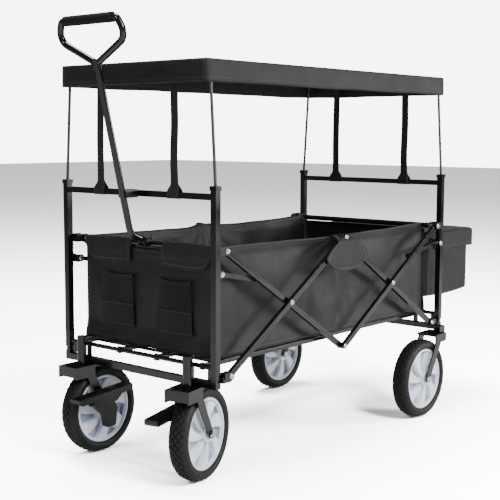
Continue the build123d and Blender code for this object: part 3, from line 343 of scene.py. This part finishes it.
def draw_out(piece, steps):
    """In edit mode, draws a tube's two ends out ring by ring, each step a half width and a radius,
    then joins the last two rings."""
    def ring(c, d, half, radius):
        return (abs(c.y - half) < 0.0002 and abs(hypot(c.x, c.z) - radius) < 0.0004
                and abs(d.y) < 0.01)

    for way in (1, -1):
        for (half, radius), (next_half, next_radius) in zip(steps, steps[1:]):
            choose(piece, lambda c, d: ring(c, d, way * half, radius), "EDGE")
            bpy.ops.mesh.extrude_edges_move()
            bpy.ops.transform.translate(value=(0, way * (next_half - half), 0))
            share = next_radius / radius
            bpy.ops.transform.resize(value=(share, 1, share), center_override=(0, 0, 0))
    last_half, last_radius = steps[-1]
    choose(piece, lambda c, d: ring(c, d, last_half, last_radius)
           or ring(c, d, -last_half, last_radius), "EDGE")
    bpy.ops.mesh.bridge_edge_loops()
    bpy.ops.mesh.select_all(action="SELECT")
    bpy.ops.mesh.normals_make_consistent(inside=False)
    bpy.ops.object.mode_set(mode="OBJECT")


def make_tyre():
    """A tyre on the Y axis at the origin: drawn out ring by ring, then lugged."""
    bpy.ops.object.select_all(action="DESELECT")
    bpy.ops.mesh.primitive_cylinder_add(vertices=96, radius=WHEEL_R - 0.0035, depth=0.030,
                                        end_fill_type="NOTHING", rotation=(pi / 2, 0, 0))
    piece = called("tyre", TYRE_RUBBER)
    bpy.ops.object.mode_set(mode="EDIT")
    steps = [(0.0150, WHEEL_R - 0.0035), (0.0195, WHEEL_R - 0.0062), (0.0222, WHEEL_R - 0.0115),
             (0.0228, WHEEL_R - 0.0170), (0.0215, WHEEL_R - 0.0215), (0.0190, RIM_R + 0.0012),
             (0.0168, RIM_R + 0.0004)]
    draw_out(piece, steps)
    piece.data.shade_smooth()
    # diamond lugs in five staggered rows, lower towards the shoulders
    lugs = []
    bpy.ops.object.select_all(action="DESELECT")
    bpy.ops.mesh.primitive_cylinder_add(vertices=4, radius=1, depth=1)
    lug = called("lug", TYRE_RUBBER)
    lug.data.transform(Matrix.Diagonal((0.0078, 0.0058, 0.0046, 1)))
    bpy.ops.object.mode_set(mode="EDIT")
    choose(lug, lambda c, n: n.z > 0.9)
    bpy.ops.transform.resize(value=(0.84, 0.84, 1), center_override=(0, 0, 0))
    bpy.ops.object.mode_set(mode="OBJECT")
    around, row_gap = 38, 0.0064
    for row in range(-2, 3):
        across = row * row_gap
        drop = 0.0002 + 0.0019 * (abs(row) / 2) ** 2.2
        lean = -row * radians(9)
        for step in range(around):
            swing = tau * (step + 0.5 * (row % 2)) / around
            copy = bpy.data.objects.new("lug_copy", lug.data.copy())
            bpy.context.collection.objects.link(copy)
            copy.data.transform(Matrix.Rotation(swing, 4, "Y")
                                @ Matrix.Translation((0, across, WHEEL_R - 0.0023 - drop))
                                @ Matrix.Rotation(lean, 4, "X"))
            lugs.append(copy)
    bpy.data.objects.remove(lug)
    only(piece)
    for copy in lugs:
        copy.select_set(True)
    bpy.ops.object.join()
    round_off = piece.modifiers.new("round_off", "BEVEL")
    round_off.width = 0.0005
    round_off.segments = 1
    round_off.limit_method = "ANGLE"
    round_off.angle_limit = radians(45)
    apply_all(piece)
    return piece


def make_rim():
    """A wheel centre on the Y axis: wide raised petals that twist into the hub, and a bright lip."""
    hub, edge = 0.0165, RIM_R - 0.0075

    def face(way):
        def place(a, b):
            swing = a * tau
            radius = hub + (edge - hub) * b
            turn = swing + way * 0.35 * (1 - b)
            beat = (turn * PETALS / tau) % 1
            raised = smooth(0.0, 0.05, beat) * (1 - smooth(0.55, 0.60, beat))
            high, low = 0.0165 - 0.004 * b, 0.0035
            tilt = 0.0030 * beat * b
            return Vector((radius * cos(swing), way * (low + (high - low + tilt) * raised),
                           radius * sin(swing)))
        return place

    made = [sheet_of(f"face{way}", (PETALS * 36, 14), face(way), lambda a, b: (a, b),
                     (SILVER_NYLON,), 0) for way in (1, -1)]
    bpy.ops.object.select_all(action="DESELECT")
    bpy.ops.mesh.primitive_cylinder_add(vertices=96, radius=RIM_R - 0.0078, depth=0.020,
                                        end_fill_type="NOTHING", rotation=(pi / 2, 0, 0))
    lip = called("lip", SILVER_NYLON)
    bpy.ops.object.mode_set(mode="EDIT")
    steps = [(0.0100, RIM_R - 0.0078), (0.0165, RIM_R - 0.0062), (0.0180, RIM_R - 0.0045),
             (0.0180, RIM_R - 0.0020), (0.0165, RIM_R)]
    draw_out(lip, steps)
    bpy.ops.object.select_all(action="DESELECT")
    bpy.ops.mesh.primitive_cylinder_add(vertices=48, radius=0.0182, depth=0.046, rotation=(pi / 2, 0, 0))
    boss = called("boss", SILVER_NYLON)
    bpy.ops.object.mode_set(mode="EDIT")
    choose(boss, lambda c, n: abs(n.y) > 0.9)
    bpy.ops.mesh.inset(thickness=0.0035)
    bpy.ops.transform.resize(value=(1, 0.93, 1), center_override=(0, 0, 0))
    bpy.ops.object.mode_set(mode="OBJECT")
    piece = lip
    only(piece)
    for other in made + [boss]:
        other.select_set(True)
    bpy.ops.object.join()
    # painted shade: the faces in the recesses between the petals take a darker copy of the silver nylon
    piece.data.materials.append(RECESS_SHADE_NYLON)
    for facet in piece.data.polygons:
        middle = facet.center
        if abs(middle.y) < 0.0058 and hub + 0.006 < hypot(middle.x, middle.z) < edge:
            facet.material_index = 1
    bpy.ops.object.mode_set(mode="EDIT")
    bpy.ops.mesh.select_all(action="SELECT")
    bpy.ops.mesh.remove_doubles(threshold=0.00002)
    bpy.ops.mesh.normals_make_consistent(inside=False)
    bpy.ops.object.mode_set(mode="OBJECT")
    only(piece)
    bpy.ops.object.shade_smooth_by_angle(angle=radians(40))
    return piece


def put(source, name, node, body, turn):
    """Copies a wheel part to a wheel's place, turned with its caster, and lets it ride there."""
    low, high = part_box(node)
    piece = bpy.data.objects.new(name, source.data.copy())
    bpy.context.collection.objects.link(piece)
    piece.data.name = name
    piece.data.transform(Matrix.Translation((low + high) / 2) @ Matrix.Rotation(turn, 4, "Z"))
    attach(piece, body)
    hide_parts(node)
    return piece


tyre, rim = make_tyre(), make_rim()
for end in ENDS:
    for side in SIDES:
        axis = JOINTS[f"{end}_wheel_spin_{side}"]["axis"]
        heading = atan2(-axis[0], axis[1])
        body = f"wheel_{end}_{side}"
        put(tyre, f"{end}_{side}_tyre", f"{end}_tyre_{side}", body, heading)
        put(rim, f"{end}_{side}_wheel_centre", f"{end}_rim_{side}", body, heading)
bpy.data.objects.remove(tyre)
bpy.data.objects.remove(rim)

# ---------------------------------------------------------------- tub
TUB_LOW, TUB_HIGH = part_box("tub_fabric")
TUB_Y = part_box("front_panel")[1].y + 0.0005
SPAN = FRONT_PIVOT - REAR_PIVOT
SIDE_TOP = TUB_HIGH.z - 0.003
SIDE_FOOT = TUB_LOW.z + 0.0005
CLOTH_WALL = 0.0016
BOARD_WALL = 0.0030


def side_depth(x, z):
    """How far the side cloth stands out (+) or falls in (-) from its flat line."""
    u = x - MIDDLE
    slack = 1 - (2 * u / SPAN) ** 8
    broad = 0.008 * crease(x, 0, z * 0.35, 9, 3.1) + 0.004 * crease(x, 0, z * 0.5, 21, 7.7)
    fan = 0
    for at, top, reach, count in ((0, SIDE_TOP, 0.26, 13), (-SPAN / 2, SIDE_TOP, 0.22, 9),
                                  (SPAN / 2, SIDE_TOP, 0.22, 9), (0, SIDE_FOOT, 0.16, 8)):
        away = hypot(u - at, z - top)
        turn = atan2(z - top, u - at)
        fan += 0.0016 * sin(count * turn + 1.3 * at) * exp(-away / reach) * smooth(0.01, 0.07, away)
    edge = smooth(0, 0.05, z - SIDE_FOOT) * smooth(0, 0.03, SIDE_TOP - z)
    pulled = 0.017 * exp(-(u / 0.085) ** 2) * smooth(SIDE_TOP - 0.085, SIDE_TOP - 0.01, z)
    billow = (broad * (0.35 + 0.65 * edge) + fan * edge) * slack
    return -0.0062 * edge * slack + min(billow, 0.0085) + pulled


for side, way in SIDES.items():
    def place(a, b, way=way):
        x = REAR_PIVOT + 0.001 + (SPAN - 0.002) * (a if way < 0 else 1 - a)
        u = x - MIDDLE
        dip = 0.006 * (1 - abs(2 * u / SPAN) ** 3) + 0.002 * crease(x, 0, 0, 14, 1.5)
        top = SIDE_TOP - dip - 0.030 * smooth(SPAN / 2 - 0.014, SPAN / 2 - 0.004, abs(u))
        foot = SIDE_FOOT + 0.003 * (1 + crease(x, 0, 0, 11, 5.5))
        z = foot + (top - foot) * b
        depth = side_depth(x, z)
        depth = min(depth, 0.0025) if depth < 0.0025 else depth if abs(u) < 0.2 else 0.0025
        return Vector((x, way * (TUB_Y - 0.003 + depth), z))

    def lay(a, b):
        return (a * SPAN, min(1 - b, b) * (SIDE_TOP - SIDE_FOOT))

    cloth = sheet_of(f"tub_side_{side}", (150, 46), place, lay, (TUB_CLOTH,), CLOTH_WALL)
    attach(cloth, "front_upper")
    if way > 0:
        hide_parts("tub_fabric")
    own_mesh(cloth)

    # the cape that covers the scissor's top centre pivot
    def cape(a, b, way=way):
        half = 0.022 + 0.066 * smooth(-0.15, 0.85, b) - 0.014 * smooth(0.8, 1, b)
        u = (1 - 2 * a) * half * way
        bow = 0.020 * (1 - abs(2 * a - 1) ** 2.4) * smooth(0.55, 1, b)
        z = SIDE_TOP - 0.004 - 0.064 * b - bow
        out = 0.016 + 0.0285 * smooth(0, 0.22, b) + 0.0012 * crease(u, 0, z, 26, 2.2)
        lift = 0.0015 * sin(pi * min(b / 0.22, 1))
        return Vector((MIDDLE + u, way * (TUB_Y - 0.0005 + out), z + lift))

    cover = sheet_of(f"pivot_cape_{side}", (30, 26), cape,
                     lambda a, b: (a * 0.17, min(1 - b, a, 1 - a) * 0.10), (FLAP_CLOTH,), CLOTH_WALL)
    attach(cover, "front_upper")
    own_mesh(cover)

# two padded floor boards, one on each half of the folding base
for end, way in ENDS.items():
    def board(a, b, way=way):
        x = MIDDLE + way * (0.0015 + (SPAN / 2 - 0.006) * a)
        y = (b - 0.5) * 2 * (TUB_Y - 0.007) * way
        return Vector((x, y, TUB_LOW.z + 0.0034 + 0.0006 * crease(x, y, 0, 12, 4.0)))

    floor_board = sheet_of(f"floor_board_{end}", (60, 30), board,
                           lambda a, b: (a * 0.42, min(b, 1 - b, a, 1 - a) * 0.4), (TUB_CLOTH,),
                           BOARD_WALL)
    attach(floor_board, f"base_half_{end}")

# ---------------------------------------------------------------- end panels
for end, way in ENDS.items():
    low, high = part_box(f"{end}_panel")
    inner = low.x if way > 0 else high.x

    def panel(a, b, way=way, low=low, high=high, inner=inner):
        y = (a - 0.5) * 2 * (high.y - 0.0005) * way
        z = low.z + (high.z - low.z) * b
        slack = 1 - abs(2 * a - 1) ** 4
        belly = 0.006 * slack * sin(pi * min(b * 1.15, 1)) + 0.0016 * crease(y, 0, z, 16, 8.8 * way)
        flare = 0.007 * smooth(0.22, 0, b)
        foot = 0.004 * crease(y, 0, 0, 20, 3.0) * smooth(0.3, 0, b)
        flare += 0.0035 * crease(y, 0, z, 34, 1.7) * smooth(0.20, 0, b)
        belly += 0.004 * crease(y * 0.7, 0, z + y * 0.5, 9, 5.1) * slack * smooth(0, 0.2, b)
        return Vector((inner + way * (0.0018 + max(belly + flare, 0)), y, z + foot))

    cloth = sheet_of(f"{end}_end_cloth", (60, 40), panel,
                     lambda a, b: (a * 0.41, min(b, 1 - b, 2 * a, 2 - 2 * a) * 0.22), (TUB_CLOTH,),
                     CLOTH_WALL)
    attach(cloth, f"{end}_upper")
    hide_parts(f"{end}_panel")

FLAP_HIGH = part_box("front_flaps")[1]
FLAP_INNER_Y = 0.050
RAIL_R = 0.0078
for side, way in SIDES.items():
    # over the rail from behind, then down the front, a little flared and wrinkled
    def flap(a, b, way=way):
        a = a if way > 0 else 1 - a
        y = way * (FLAP_INNER_Y + (FLAP_HIGH.y - FLAP_INNER_Y) * a)
        start, arc = 0.018, pi * RAIL_R
        run = b * (start + arc + 0.046)
        if run < start:
            x, z = -RAIL_R, -(start - run)
        elif run < start + arc:
            t = (run - start) / RAIL_R
            x, z = -RAIL_R * cos(t), RAIL_R * sin(t)
        else:
            fall = run - start - arc
            x, z = RAIL_R + 0.0030 * smooth(0, 0.046, fall), -fall
        ripple = (0.0016 * crease(y, 0, z, 28, 6.0 + way)
                  + 0.0022 * sin(pi * min(max(z + 0.03, 0) / 0.03, 1)))
        sway = (0.012 * smooth(0.72, 1, a) ** 2 * smooth(0.45, 1, b)
                - 0.003 * sin(pi * a) * smooth(0.6, 1, b))
        x, z = x * (1 + 0.25 * sin(pi * a)), z * (1 + (0.30 * sin(pi * a) if z > 0 else 0))
        y -= way * 0.010 * smooth(0.75, 1, a) * smooth(0.55, 1, b)
        return Vector((FRONT_PIVOT + x + max(ripple, -0.0002) * (1 if x > 0 else 0), y,
                       RAIL_Z + z + sway + 0.0016 * crease(y, 0, 0, 18, 1.0) * (1 - smooth(0, 0.9, b))))

    cover = sheet_of(f"front_flap_{side}", (44, 40), flap,
                     lambda a, b: (a * 0.155, min(1 - b, (a if a < 0.5 else 1 - a) * 1.7) * 0.09),
                     (FLAP_CLOTH,), -CLOTH_WALL)
    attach(cover, "front_upper")
    if way > 0:
        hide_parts("front_flaps")

# ---------------------------------------------------------------- front pockets
POCKET_LOW, POCKET_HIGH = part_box("front_pockets")
POCKET_WIDE = 0.112
POCKET_Y = POCKET_HIGH.y - POCKET_WIDE / 2
BACK_X = POCKET_LOW.x + 0.0085
NET_FOOT = POCKET_LOW.z + 0.057
for side, way in SIDES.items():
    def front_of(a, b, low, high, way=way):
        """A point on the pocket's bulging front, between two heights."""
        z = low + (high - low) * b
        share = (z - POCKET_LOW.z) / (POCKET_HIGH.z - POCKET_LOW.z)
        half = POCKET_WIDE / 2 - 0.006 * share
        y = (a - 0.5) * 2 * half
        swell = 0.0045 * (1 - abs(2 * a - 1) ** 3) * sin(pi * min(0.12 + 0.9 * share, 1)) ** 0.6
        wave = 0.0007 * crease(y, 0, z, 45, 3 * way)
        sag = -0.004 * (1 - (2 * a - 1) ** 2) * smooth(0.9, 1, share)
        return Vector((BACK_X + swell + wave, way * POCKET_Y + y, z + sag))

    low_part = sheet_of(f"pocket_base_{side}", (30, 18),
                        lambda a, b: front_of(a, b, POCKET_LOW.z, NET_FOOT),
                        lambda a, b: (a * 0.112, min(b, 1 - b) * 0.057), (POCKET_CLOTH,), 0.0012)
    net = sheet_of(f"pocket_net_{side}", (17, 9),
                   lambda a, b: front_of(a, b, NET_FOOT - 0.001, POCKET_HIGH.z - 0.004),
                   lambda a, b: (a, b), (NET_YARN,), 0)
    # turn the square cells into diamonds, then keep only their threads
    only(net)
    bpy.ops.object.mode_set(mode="EDIT")
    bpy.ops.mesh.select_all(action="SELECT")
    bpy.ops.mesh.poke()
    bpy.ops.object.mode_set(mode="OBJECT")
    threads = net.modifiers.new("threads", "WIREFRAME")
    threads.thickness = 0.0013
    threads.use_even_offset = False
    apply_all(net)
    net.data.shade_smooth()
    hem = sheet_of(f"pocket_hem_{side}", (30, 4),
                   lambda a, b: front_of(a, b, POCKET_HIGH.z - 0.007, POCKET_HIGH.z)
                   + Vector((0.0006, 0, 0)),
                   lambda a, b: (a * 0.1, b * 0.007), (FLAP_CLOTH,), 0.0020)
    for piece in (low_part, net, hem):
        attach(piece, "front_upper")
    if way > 0:
        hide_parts("front_pockets")

# ---------------------------------------------------------------- canopy
CANOPY_LOW, CANOPY_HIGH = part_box("canopy")
TOP = CANOPY_HIGH - CANOPY_LOW
bpy.ops.object.select_all(action="DESELECT")
bpy.ops.mesh.primitive_grid_add(x_subdivisions=64, y_subdivisions=30, size=1,
                                location=((CANOPY_LOW.x + CANOPY_HIGH.x) / 2, 0, CANOPY_HIGH.z - 0.0012),
                                scale=(1, 1, 1))
bpy.context.object.scale = (TOP.x - 0.006, TOP.y - 0.006, 1)
canopy = called("canopy_cover", CANOPY_CLOTH, CANOPY_LINING)
bpy.ops.object.mode_set(mode="EDIT")
bpy.ops.mesh.select_all(action="SELECT")
bpy.ops.mesh.region_to_loop()
for drop in (0.004, 0.020, 0.018, 0.006):
    bpy.ops.mesh.extrude_edges_move()
    bpy.ops.transform.translate(value=(0, 0, -drop))
    grow = 1.003 if drop == 0.004 else 1.0004
    bpy.ops.transform.resize(value=(grow, 1 + 2 * (grow - 1), 1), center_override=(MIDDLE, 0, 0))
bpy.ops.object.mode_set(mode="OBJECT")
mesh = canopy.data
layer = mesh.uv_layers.active
half_x, half_y = TOP.x / 2, TOP.y / 2
for polygon in mesh.polygons:
    for loop_index in polygon.loop_indices:
        at = mesh.vertices[mesh.loops[loop_index].vertex_index].co
        layer.data[loop_index].uv = (at.x + at.y, max(at.z - CANOPY_LOW.z, 0))
for vertex in mesh.vertices:
    at = vertex.co
    u, v = (at.x - MIDDLE) / half_x, at.y / half_y
    inside = max(0, 1 - abs(u) ** 6) * max(0, 1 - abs(v) ** 4)
    falls = smooth(CANOPY_HIGH.z - 0.010, CANOPY_LOW.z, at.z)
    at.z -= 0.0065 * inside * (0.8 + 0.5 * crease(at.x, at.y, 0, 5, 1.2))
    at.z += 0.0022 * crease(at.x, at.y, 0, 7, 9.1) * falls
    shift = 0.0012 * crease(at.x, at.y, at.z, 16, 4.4) * falls
    at.x += shift if abs(u) > 0.98 else 0
    at.y += shift if abs(v) > 0.98 else 0
thicken(canopy, 0.0014)
for face in canopy.data.polygons:
    face.material_index = 1 if face.normal.z < -0.8 and face.center.z > CANOPY_HIGH.z - 0.016 else 0
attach(canopy, "front_upper")
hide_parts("canopy")
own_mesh(canopy)

# ---------------------------------------------------------------- rear bag and lid
BAG_LOW, BAG_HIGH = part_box("rear_bag")
LID_LOW, LID_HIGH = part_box("bag_lid")
BAG_WALL = 0.0026


def sewn_box(name, low, high, open_faces, corner, finish, cuts):
    """A cloth box without its open faces: rounded and cut fine."""
    bpy.ops.object.select_all(action="DESELECT")
    bpy.ops.mesh.primitive_cube_add(size=1, location=(low + high) / 2)
    bpy.context.object.scale = high - low
    piece = called(name, finish)
    bpy.ops.object.mode_set(mode="EDIT")
    choose(piece, lambda c, n: any(n.dot(Vector(way)) > 0.9 for way in open_faces))
    bpy.ops.mesh.delete(type="FACE")
    bpy.ops.mesh.select_mode(type="EDGE")
    bpy.ops.mesh.select_all(action="SELECT")
    bpy.ops.mesh.region_to_loop()
    bpy.ops.mesh.select_all(action="INVERT")
    bpy.ops.mesh.bevel(offset=corner, segments=4, affect="EDGES")
    bpy.ops.object.mode_set(mode="OBJECT")
    for axis in (0, 1, 2):
        count = cuts[axis]
        for k in range(1, count):
            where = low.copy()
            where[axis] = low[axis] + (high[axis] - low[axis]) * k / count
            normal = Vector((0, 0, 0))
            normal[axis] = 1
            bpy.ops.object.mode_set(mode="EDIT")
            bpy.ops.mesh.select_all(action="SELECT")
            bpy.ops.mesh.bisect(plane_co=where, plane_no=normal)
            bpy.ops.object.mode_set(mode="OBJECT")
    return piece


def lay_flat(piece, rim_z, drop):
    """UVs in metres: along the wall, and down from the rim for the row of stitches."""
    mesh = piece.data
    layer = mesh.uv_layers.active or mesh.uv_layers.new()
    for loop in mesh.loops:
        at = mesh.vertices[loop.vertex_index].co
        layer.data[loop.index].uv = (at.x + at.y, abs(at.z - rim_z) + drop)


bag = sewn_box("bag_body", BAG_LOW + Vector((0, 0.001, 0.001)), BAG_HIGH - Vector((0, 0.001, 0)),
               [(0, 0, 1)], 0.014, BAG_CANVAS, (16, 26, 14))
lay_flat(bag, BAG_HIGH.z, 0)
bag_size = BAG_HIGH - BAG_LOW
for vertex in bag.data.vertices:
    at = vertex.co
    a, b, c = ((at[i] - BAG_LOW[i]) / bag_size[i] for i in range(3))
    puff = sin(pi * min(max(c, 0), 1)) ** 0.7
    at.y += 0.0012 * (1 if b > 0.5 else -1) * sin(pi * a) * puff
    at.y += 0.0016 * crease(at.x, at.y, at.z, 17, 2.0) * (1 if 0.02 > b or b > 0.98 else 0)
    if a < 0.05:
        at.x -= 0.010 * sin(pi * b) ** 0.5 * puff + 0.0016 * crease(0, at.y, at.z, 15, 7.0)
    if c < 0.05:
        at.z += 0.004 * (1 - sin(pi * a)) + 0.0015 * crease(at.x, at.y, 0, 13, 3.0) * 0.5
thicken(bag, BAG_WALL)
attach(bag, "rear_upper")
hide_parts("rear_bag")

lid = sewn_box("bag_cover", LID_LOW, LID_HIGH, [(0, 0, -1), (1, 0, 0)], 0.010, BAG_CANVAS, (18, 26, 6))
lay_flat(lid, LID_LOW.z, 0)
lid_size = LID_HIGH - LID_LOW
for vertex in lid.data.vertices:
    at = vertex.co
    a, b, c = ((at[i] - LID_LOW[i]) / lid_size[i] for i in range(3))
    crown = sin(pi * min(max(a, 0), 1)) * sin(pi * min(max(b, 0), 1))
    if c > 0.9:
        at.z += -0.0025 + 0.0022 * crown + 0.0012 * crease(at.x, at.y, 0, 12, 5.0)
    else:
        lip = 1 - c
        at.z += 0.003 * crease(at.x, at.y, 0, 14, 6.0) * lip
        if a < 0.04:
            at.x += 0.0030 * lip * sin(pi * b)
        # the side lips rise towards the wagon, clear of the posts
        if (b < 0.03 or b > 0.97) and a > 0.80:
            at.z += smooth(0.80, 0.97, a) * lip * 0.036
thicken(lid, BAG_WALL)
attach(lid, "bag_lid")
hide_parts("bag_lid")

# ---------------------------------------------------------------- straps
STRAP_SLIM, STRAP_FOOT, STRAP_WALL = 0.021, 0.034, 0.0014
for end in ENDS:
    low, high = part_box(f"canopy_straps_{end}")
    half = (high.x - low.x) / 2 - 0.0013
    under = low.z + 0.0013
    over = under + 2 * half
    route = [(0, high.z), (0, over + 0.020), (-half, over - 0.001), (-half, under), (half, under),
             (half, over - 0.001), (0.0016, over + 0.012), (0.0016, over + 0.030)]
    lengths = [hypot(q[0] - p[0], q[1] - p[1]) for p, q in zip(route, route[1:])]
    total = sum(lengths)
    for side, way in SIDES.items():
        def strap(a, b, way=way, low=low, high=high, over=over, route=route, lengths=lengths,
                  total=total):
            run, k = b * total, 0
            while k < len(lengths) - 1 and run > lengths[k]:
                run -= lengths[k]
                k += 1
            t = min(run / lengths[k], 1)
            x = route[k][0] + (route[k + 1][0] - route[k][0]) * t
            z = route[k][1] + (route[k + 1][1] - route[k][1]) * t
            wide = STRAP_FOOT + (STRAP_SLIM - STRAP_FOOT) * smooth(over, over + 0.018, z)
            y = way * (high.y - STRAP_FOOT / 2) + (a - 0.5) * wide
            bow = 0.0022 * crease(way, 0, z, 11, 2.6) * smooth(0, 0.05, high.z - z) if k == 0 else 0
            return Vector(((low.x + high.x) / 2 + x + bow * smooth(over + 0.02, over + 0.06, z), y, z))

        band = sheet_of(f"canopy_strap_{end}_{side}", (6, 90), strap,
                        lambda a, b, total=total: (a * STRAP_SLIM, b * total), (WEBBING,), STRAP_WALL)
        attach(band, f"{end}_upper")
        if way > 0:
            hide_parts(f"canopy_straps_{end}")

# ---------------------------------------------------------------- foam grip
GRIP_LOW, GRIP_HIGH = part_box("handle_grip")
bpy.ops.object.select_all(action="DESELECT")
bpy.ops.mesh.primitive_cylinder_add(vertices=48, radius=(GRIP_HIGH.z - GRIP_LOW.z) / 2 - 0.0002,
                                    depth=GRIP_HIGH.y - GRIP_LOW.y, rotation=(pi / 2, 0, 0),
                                    location=(GRIP_LOW + GRIP_HIGH) / 2)
grip = called("foam_grip", GRIP_FOAM)
bpy.ops.object.mode_set(mode="EDIT")
choose(grip, lambda c, d: abs(d.y) < 0.1, "EDGE")
bpy.ops.mesh.bevel(offset=0.0028, segments=4, affect="EDGES")
bpy.ops.object.mode_set(mode="OBJECT")
bpy.ops.object.shade_smooth_by_angle(angle=radians(50))
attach(grip, "handle")
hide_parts("handle_grip")

# ---------------------------------------------------------------- stage, light, camera
# the air and the floor look bright, but light the wagon only a little, so black stays black
AIR_LIGHTING = 0.15
AIR_SEEN = 7.0
FLOOR_LIGHTING = 0.75
FLOOR_SEEN = 6.0
floor_paint, floor_tree, _ = finish_named("pale_studio_floor", Roughness=0.9,
                                          Specular_IOR_Level=0.0)
seen = add(floor_tree, "ShaderNodeLightPath").outputs["Is Camera Ray"]
lift = add(floor_tree, "ShaderNodeMix", {"Factor": seen, 2: FLOOR_LIGHTING, 3: FLOOR_SEEN})
tint = add(floor_tree, "ShaderNodeCombineColor", {"Red": lift.outputs[0], "Green": lift.outputs[0],
                                                  "Blue": lift.outputs[0]})
white = add(floor_tree, "ShaderNodeBsdfDiffuse", {"Color": tint.outputs["Color"]})
floor_tree.links.new(white.outputs["BSDF"], floor_tree.nodes["Material Output"].inputs["Surface"])
bpy.ops.object.select_all(action="DESELECT")
bpy.ops.mesh.primitive_plane_add(size=40, location=(0, 0, -0.0002))
floor = called("studio_floor", floor_paint)
floor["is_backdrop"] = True

world = bpy.data.worlds.new("studio_air")
bpy.context.scene.world = world
world.use_nodes = True
air = world.node_tree
looked_at = add(air, "ShaderNodeLightPath").outputs["Is Camera Ray"]
glow = add(air, "ShaderNodeMix", {"Factor": looked_at, 2: AIR_LIGHTING, 3: AIR_SEEN})
air.nodes["Background"].inputs["Color"].default_value = linear("#ffffff")
air.links.new(glow.outputs[0], air.nodes["Background"].inputs["Strength"])

AIM = Vector((MIDDLE, 0, 0.5))
# each panel: name, place, side in metres, power in watts
PANELS = (("key_panel", (0.6, 3.2, 2.7), 1.1, 170), ("front_panel", (3.7, 0.2, 2.6), 0.9, 45),
          ("side_panel", (-2.4, 2.6, 1.2), 1.0, 90), ("top_panel", (0.1, -0.6, 4.2), 1.8, 200))
for name, place, size, watts in PANELS:
    light = bpy.data.lights.new(name, "AREA")
    light.size = size
    light.energy = watts
    lamp = bpy.data.objects.new(name, light)
    bpy.context.collection.objects.link(lamp)
    lamp.location = place
    lamp.rotation_euler = (AIM - Vector(place)).to_track_quat("-Z", "Y").to_euler()

LENS_MM = 75.37
CAMERA_PLACE = Vector((MIDDLE + 2.05955, 1.68934, 0.75614))
CAMERA_HEADING = radians(-139.671)
CAMERA_PITCH = radians(-6.318)
CAMERA_ROLL = radians(-0.209)
camera = bpy.data.objects.new("camera", bpy.data.cameras.new("camera"))
bpy.context.collection.objects.link(camera)
camera.data.sensor_width = 36
camera.data.lens = LENS_MM
camera.matrix_world = (Matrix.Translation(CAMERA_PLACE)
                       @ Matrix.Rotation(CAMERA_HEADING - pi / 2, 4, "Z")
                       @ Matrix.Rotation(pi / 2 + CAMERA_PITCH, 4, "X")
                       @ Matrix.Rotation(-CAMERA_ROLL, 4, "Z"))
bpy.context.scene.camera = camera

low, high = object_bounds()
